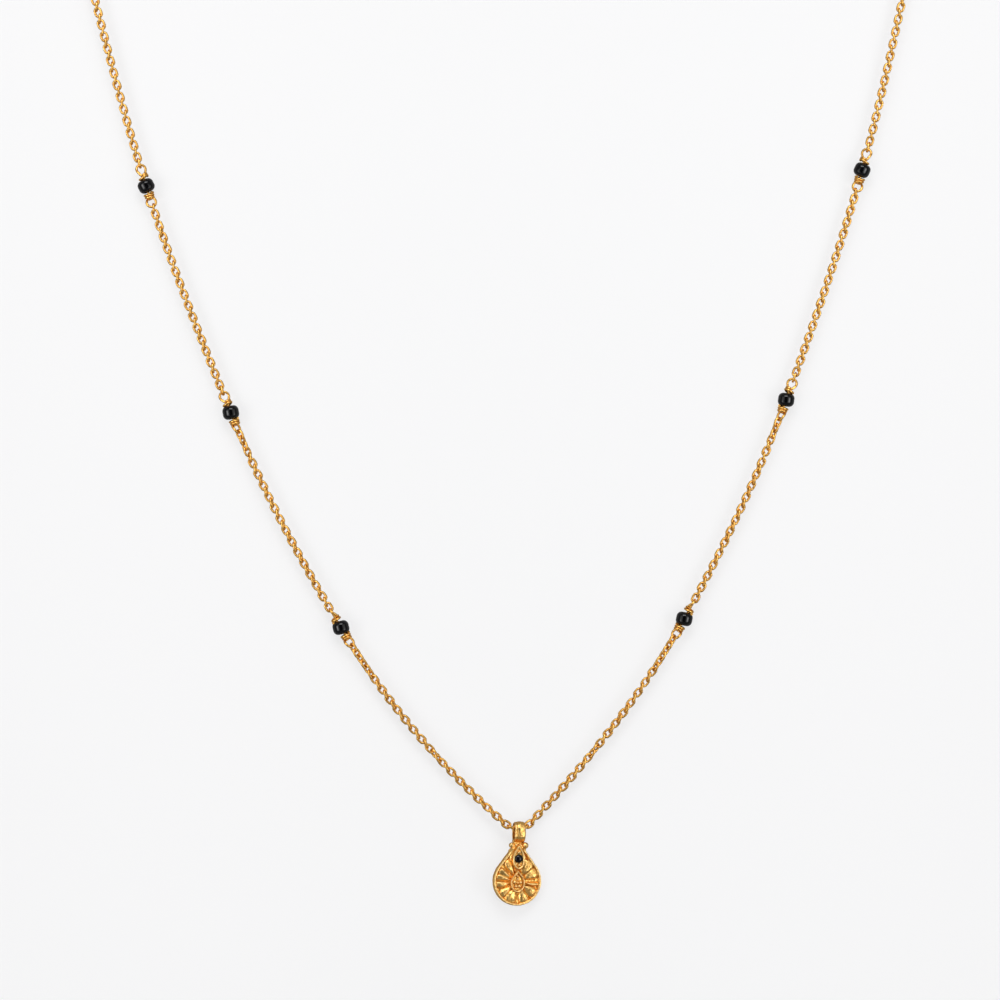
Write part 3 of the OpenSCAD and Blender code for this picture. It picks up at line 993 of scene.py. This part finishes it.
    def trim(self, part):
        """Cuts a part level at the foot of the bail."""
        open_mesh(part, "VERT")
        bpy.ops.mesh.bisect(plane_co=(0, -BAIL_LENGTH, 0), plane_no=(0, 1, 0),
                            use_fill=True, clear_outer=True)
        close_mesh(part)

    def ball(self, x, y, z, radius):
        bpy.ops.mesh.primitive_uv_sphere_add(
            segments=20, ring_count=12, radius=radius, location=(x, y, z))
        return settle()

    def petals(self):
        """Petals round the heart, each with a soft crease down its middle and a lean."""
        made = []
        shape = random.Random(self.SEED)
        outer = self.radius - self.border + 0.08
        for low, high in self.PETALS:
            middle, half = radians((low + high) / 2), radians((high - low) / 2)
            beside = max(0.0, pi / 2 - self.flank - abs(middle - pi / 2))
            reach = outer / cos(beside)
            height = shape.uniform(0.62, 0.78)
            swirl = shape.uniform(-0.12, 0.12)
            lean = shape.uniform(-0.3, 0.3)
            bpy.ops.mesh.primitive_uv_sphere_add(
                segments=28, ring_count=20, radius=1, rotation=(0, pi / 2, 0))
            piece = settle()
            for vertex in piece.data.vertices:
                x, y, z = vertex.co
                round_end = max(0.05, 1 - x * x) ** self.PETAL_ROUNDING
                share = (x + 1) / 2
                far = blend(self.PETAL_START, reach, share)
                wide = far * sin(half) * self.PETAL_WIDTH * round_end
                top = height * round_end * blend(0.85, 1.0, share)
                crease = 1.0
                if z > 0:
                    crease -= self.CREASE * exp(-((y / 0.24) ** 2)) * smooth(share * 1.6)
                vertex.co = (far, y * wide + swirl * sin(pi * share),
                             z * top * crease * (1 + lean * y))
            heart = Matrix.Translation((0, self.middle - 0.1, 0))
            piece.data.transform(heart @ Matrix.Rotation(middle, 4, "Z"))
            made.append(piece)
        return made

    def heart(self):
        """The small pear frame in the middle, filled with grains."""
        y = self.middle - 0.18
        path = self.pear(0, y, 1.06, 1.68, 1.48)
        made = [self.rim(path, 0.3, 0.9), self.slab(path, -0.2, 0.5)]
        return made + [self.ball(x, y + up, 0.6, r) for x, up, r in self.HEART_GRAINS]

    def stone_rim(self):
        """The pear rim round the stone, with the floor it sits on and the grains that hold it."""
        y = self.middle + STONE_RISE
        path = self.pear(0, y, 0.87, 1.95, 1.55)
        made = [self.rim(path, 0.4, self.RIM_HEIGHT), self.slab(path, -0.2, 0.95)]
        return made + [self.ball(x, y + up, 1.0, r) for x, up, r in self.STONE_GRAINS]

    def neck(self):
        """The block under the bail, and the grains soldered beside it."""
        bpy.ops.mesh.primitive_cube_add(
            size=1, location=(0.1, -2.1, -0.15), scale=(1.8, 0.76, 0.8))
        block = settle()
        open_mesh(block, "EDGE")
        bpy.ops.mesh.bevel(offset=0.12, segments=3)
        return [close_mesh(block)] + [self.ball(*grain) for grain in self.NECK_GRAINS]

    def bail(self):
        """The strap: a round arch over the chain whose two legs lean together at the foot."""
        turns = [radians(10 * i) for i in range(-10, 11)]
        legs = [(-0.75, 1.04), (-1.2, 1.02), (-1.5, 0.92), (-1.76, 0.6), (-1.95, 0.3), (-2.05, 0)]
        path = [(cos(turn), sin(turn)) for turn in turns]
        path += legs + [(y, -z) for y, z in legs[-2::-1]]
        across = Vector((1, 0, 0))
        path = round_path([Vector((0.16, y, z)) for y, z in path], across)
        wide, wall = 0.92, 0.14
        section = [(-0.02, -wide + 0.05), (0.08, -wide + 0.14), (0.12, -wide + 0.24),
                   (0.03, -wide + 0.4), (0.15, -wide + 0.56), (0.19, 0.05),
                   (0.16, wide - 0.4), (0.09, wide - 0.2), (-0.02, wide - 0.05),
                   (-0.08, wide), (-wall, wide - 0.06), (-wall, -wide + 0.06), (-0.08, -wide)]
        return self.band(path, section, up=across)

    def cast(self, piece, drop):
        """Casts the parts into one body, softens it, and marks its hollows and crests, which the
        gold's painted shade and painted highlight follow.
        """
        modify(piece, "REMESH", mode="VOXEL", voxel_size=drop.cast_step, use_smooth_shade=True)
        modify(piece, "SMOOTH", factor=0.5, iterations=drop.softening)
        hammering = bpy.data.textures.new("hammering", "CLOUDS")
        hammering.noise_scale = self.HAMMER_SCALE
        modify(piece, "DISPLACE", texture=hammering, texture_coords="LOCAL",
               strength=self.HAMMER_DEPTH)
        marks = piece.data.color_attributes.new("relief", "BYTE_COLOR", "CORNER")
        piece.data.color_attributes.active_color = marks
        make_active(piece)
        # Cavity shading, kept as tones that the gold turns into painted shade in hollows and a
        # painted highlight on crests
        bpy.ops.paint.vertex_color_dirt(blur_strength=0.8, blur_iterations=2, dirt_only=False,
                                        clean_angle=radians(120), dirt_angle=radians(60))
        # The tones are spread over the whole range, but for the outermost 1 in 25
        tones = [0.0] * (4 * len(marks.data))
        marks.data.foreach_get("color", tones)
        spread = sorted(tones[::4])
        low, high = spread[len(spread) // 25], spread[-len(spread) // 25]
        marks.data.foreach_set("color", [min(max((tone - low) / (high - low), 0.0), 1.0)
                                         for tone in tones])
        bpy.ops.object.shade_smooth()


class NECKLACE_OT_stone(bpy.types.Operator):
    """The black domed stone in its rim"""

    bl_idname = "necklace.stone"
    bl_label = "Stone"

    WIDTH = 1.42
    DOME = 0.46
    UNDERSIDE = 0.14
    SEAT_HEIGHT = 0.74

    def execute(self, context):
        clear_bench()
        bpy.ops.mesh.primitive_uv_sphere_add(segments=40, ring_count=24, radius=self.WIDTH / 2)
        piece = bpy.context.object
        for vertex in piece.data.vertices:
            level = vertex.co.z / (self.WIDTH / 2)
            vertex.co.z = self.UNDERSIDE + level * (self.DOME if level > 0 else self.UNDERSIDE)
        bpy.ops.object.shade_smooth()
        y = drop_middle(context.scene.necklace_drop) + STONE_RISE
        seat = PENDANT_SEAT @ Matrix.Translation((0, y, self.SEAT_HEIGHT))
        finish = glass_finish("black_stone", body=(0.001, 0.0006, 0.002, 1),
                              haze=(0.002, 0.0015, 0.004, 1))
        hand_over(piece, "black_stone", "pendant", finish, ["pendant_stone"], seat)
        return {"FINISHED"}


class NECKLACE_OT_clasp(bpy.types.Operator):
    """The spring ring at the nape, with an eye at each side"""

    bl_idname = "necklace.clasp"
    bl_label = "Clasp"

    # Where the collars and the thumb knob sit round the ring, in degrees
    COLLARS = (0, 60, 180)
    THUMB = 75
    KNOB_OUT = 0.15

    def execute(self, context):
        wire = context.scene.necklace_beads.wire / MM
        clear_bench()
        parts = [self.ring(0, CLASP_RING, CLASP_WIRE), self.thumb()]
        parts += [self.ring(way * CLASP_EYE, EYE_RING, wire) for way in (LEFT, RIGHT)]
        parts += [self.collar(turn) for turn in self.COLLARS]
        seat = Matrix.Translation((0, 0, CLASP_MIDDLE)) @ Matrix.Rotation(pi / 2, 4, "X")
        hand_over(join(parts), "spring_ring", "root", chain_gold(), ["clasp"], seat)
        return {"FINISHED"}

    def ring(self, x, across, wire):
        bpy.ops.mesh.primitive_torus_add(
            major_segments=64, minor_segments=16, generate_uvs=False, major_radius=across / 2,
            minor_radius=wire / 2, location=(x, 0, 0))
        piece = settle()
        bpy.ops.object.shade_smooth()
        return piece

    def collar(self, turn):
        """A short sleeve round the ring's wire."""
        bpy.ops.mesh.primitive_cylinder_add(
            vertices=28, radius=CLASP_WIRE / 2 + 0.05, depth=0.55, rotation=(pi / 2, 0, 0))
        piece = settle()
        open_mesh(piece)
        pick(piece, "EDGE", lambda a, b: abs(a.y - b.y) < 0.01)
        bpy.ops.mesh.bevel(offset=0.06, segments=3)
        return self.place(piece, turn, CLASP_RING / 2)

    def thumb(self):
        """The small knob that draws the ring open."""
        bpy.ops.mesh.primitive_cylinder_add(
            vertices=20, radius=0.16, depth=0.5, rotation=(0, pi / 2, 0))
        piece = settle()
        open_mesh(piece)
        pick(piece, "FACE", lambda p, n: n.x > 0.9)
        bpy.ops.mesh.inset(thickness=-0.08)
        bpy.ops.mesh.extrude_region_move(TRANSFORM_OT_translate={"value": (0.18, 0, 0)})
        return self.place(piece, self.THUMB, CLASP_RING / 2 + CLASP_WIRE / 2 + self.KNOB_OUT)

    def place(self, piece, turn, reach):
        """Closes a part's mesh and sets it on the ring."""
        close_mesh(piece)
        turn = Matrix.Rotation(radians(turn), 4, "Z")
        piece.data.transform(turn @ Matrix.Translation((reach, 0, 0)))
        bpy.ops.object.shade_smooth_by_angle(angle=radians(40))
        return piece


class NECKLACE_PT_sidebar(bpy.types.Panel):
    """Sidebar with the necklace's pieces and settings"""

    bl_idname = "NECKLACE_PT_sidebar"
    bl_label = "Necklace"
    bl_space_type = "VIEW_3D"
    bl_region_type = "UI"
    bl_category = "Necklace"

    def draw(self, context):
        scene = context.scene
        for kind in OPERATORS:
            self.layout.operator(kind.bl_idname)
        for name, kind in SETTINGS.items():
            box = self.layout.box()
            for key in kind.__annotations__:
                box.prop(getattr(scene, name), key)


SETTINGS = {
    "necklace_gold": NecklaceGold,
    "necklace_chain": NecklaceChain,
    "necklace_beads": NecklaceBeads,
    "necklace_drop": NecklaceDrop,
    "necklace_stage": NecklaceStage,
}
OPERATORS = (NECKLACE_OT_stage, NECKLACE_OT_chain, NECKLACE_OT_wires, NECKLACE_OT_beads,
             NECKLACE_OT_drop, NECKLACE_OT_stone, NECKLACE_OT_clasp)
CLASSES = (*SETTINGS.values(), *OPERATORS, NECKLACE_PT_sidebar)


def register():
    for kind in CLASSES:
        bpy.utils.register_class(kind)
    for name, kind in SETTINGS.items():
        setattr(bpy.types.Scene, name, PointerProperty(type=kind))


def unregister():
    for name in SETTINGS:
        delattr(bpy.types.Scene, name)
    for kind in reversed(CLASSES):
        bpy.utils.unregister_class(kind)


def main():
    register()
    bpy.ops.necklace.stage()
    bpy.ops.necklace.chain()
    bpy.ops.necklace.wires()
    bpy.ops.necklace.beads()
    bpy.ops.necklace.drop()
    bpy.ops.necklace.stone()
    bpy.ops.necklace.clasp()


if __name__ == "__main__":
    main()
